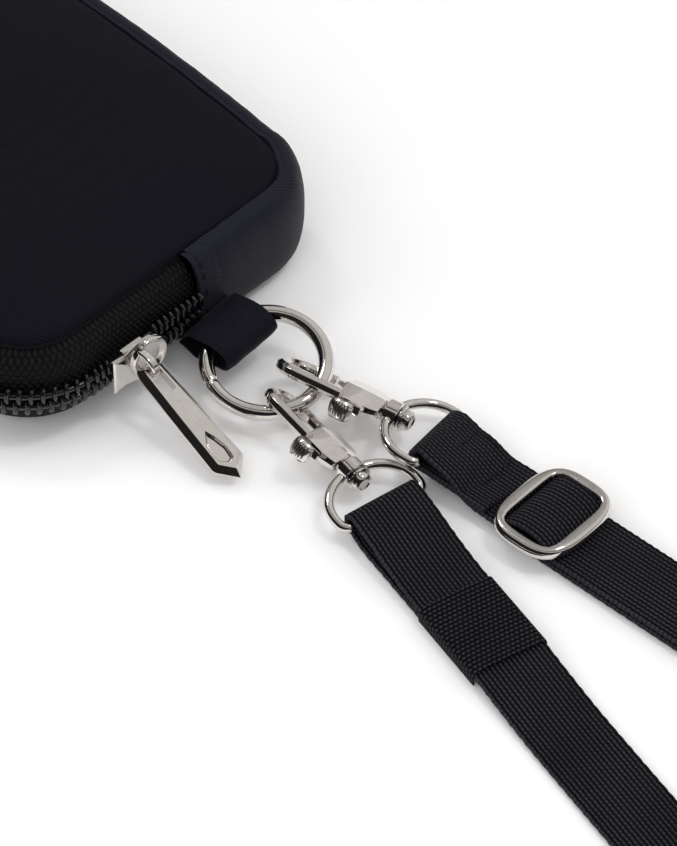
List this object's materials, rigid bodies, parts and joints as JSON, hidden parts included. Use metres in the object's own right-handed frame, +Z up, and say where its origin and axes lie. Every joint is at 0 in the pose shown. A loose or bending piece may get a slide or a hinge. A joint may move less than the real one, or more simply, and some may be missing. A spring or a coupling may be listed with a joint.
{
  "type": "zippered pouch",
  "caption": "Padded rectangular fabric pouch with a corner zip, a split ring on a sewn tab, and a webbing carrying strap on two swivel clips.",
  "frame": {"origin": "under the middle of the pouch, on the surface that it lies on", "axes": "+X along the pouch towards the end with the ring and the strap, +Y across it, +Z up out of the front panel"},
  "size_m": [0.4476, 0.0911, 0.0232],
  "materials": {
    "black_twill": "fine diagonal twill of black-navy nylon",
    "grey_foam": "soft grey padding",
    "black_lining": "smooth black lining and elastic",
    "zip_tape": "coarse woven tape",
    "zip_coil": "semi-gloss moulded coil",
    "polished_nickel": "polished nickel plate",
    "spring_steel": "bare spring wire",
    "black_webbing": "ribbed woven webbing"
  },
  "bodies": {
    "pouch": {"back_foam": "grey_foam", "back_lining": "black_lining", "back_panel": "black_twill", "back_seam_binding": "black_lining", "d_ring_a": "polished_nickel", "d_ring_b": "polished_nickel", "front_foam": "grey_foam", "front_lining": "black_lining", "front_panel": "black_twill", "front_seam_binding": "black_lining", "gusset": "black_twill", "keeper": "black_webbing", "rectangular_ring": "polished_nickel", "roll_tie": "black_lining", "strap_a_return": "black_webbing", "strap_a_run": "black_webbing", "strap_b_run": "black_webbing", "strap_b_tail": "black_webbing", "strap_roll": "black_webbing", "tab_loop": "black_twill", "zip_end_tab_finish": "black_twill", "zip_end_tab_start": "black_twill", "zipper_coil_lower": "zip_coil", "zipper_coil_upper": "zip_coil", "zipper_tape_lower": "zip_tape", "zipper_tape_upper": "zip_tape"},
    "slider": {"slider_body": "polished_nickel", "slider_bridge": "polished_nickel"},
    "pull": {"pull_tab": "polished_nickel"},
    "ring": {"o_ring": "polished_nickel"},
    "adjuster": {"adjuster_frame": "polished_nickel", "adjuster_webbing": "black_webbing"},
    "clip_a": {"hook_a": "polished_nickel", "gate_pin_a": "polished_nickel", "gate_spring_a": "spring_steel", "swivel_post_a": "polished_nickel"},
    "gate_a": {"gate_a": "polished_nickel"},
    "clip_b": {"hook_b": "polished_nickel", "gate_pin_b": "polished_nickel", "gate_spring_b": "spring_steel", "swivel_post_b": "polished_nickel"},
    "gate_b": {"gate_b": "polished_nickel"}
  },
  "joints": [
    {"name": "slider_slide", "type": "slide", "parent": "pouch", "child": "slider", "axis": [0, 1, 0], "range_m": [-0.0045, 0.003]},
    {"name": "pull_swing", "type": "hinge", "parent": "slider", "child": "pull", "pos_m": [0.0901, -0.0158, 0.0114], "axis": [-0.0872, -0.9962, 0], "range_deg": [0, 110]},
    {"name": "ring_spin", "type": "hinge", "parent": "pouch", "child": "ring", "pos_m": [0.1026, 0.0036, 0.0073], "axis": [0.138, -0.1439, 0.9799], "continuous": true},
    {"name": "adjuster_slide", "type": "slide", "parent": "pouch", "child": "adjuster", "axis": [0.9997, 0.0244, 0], "range_m": [0, 0.056]},
    {"name": "clip_a_roll", "type": "hinge", "parent": "pouch", "child": "clip_a", "pos_m": [0.1038, 0.0059, 0.0069], "axis": [0.9776, 0.2078, -0.0349], "range_deg": [-20, 4]},
    {"name": "gate_a_swing", "type": "hinge", "parent": "clip_a", "child": "gate_a", "pos_m": [0.12169, 0.01225, 0.00423], "axis": [-0.1043, 0.6212, 0.7767], "range_deg": [0, 24], "stiffness_Nm_per_rad": 0.004, "springref_deg": -8},
    {"name": "clip_b_roll", "type": "hinge", "parent": "pouch", "child": "clip_b", "pos_m": [0.1076, 0.0001, 0.0058], "axis": [0.9843, -0.1735, -0.0332], "range_deg": [-3, 2]},
    {"name": "gate_b_swing", "type": "hinge", "parent": "clip_b", "child": "gate_b", "pos_m": [0.12652, -0.00094, 0.00291], "axis": [0.1459, 0.6923, 0.7067], "range_deg": [0, 24], "stiffness_Nm_per_rad": 0.004, "springref_deg": -8}
  ]
}
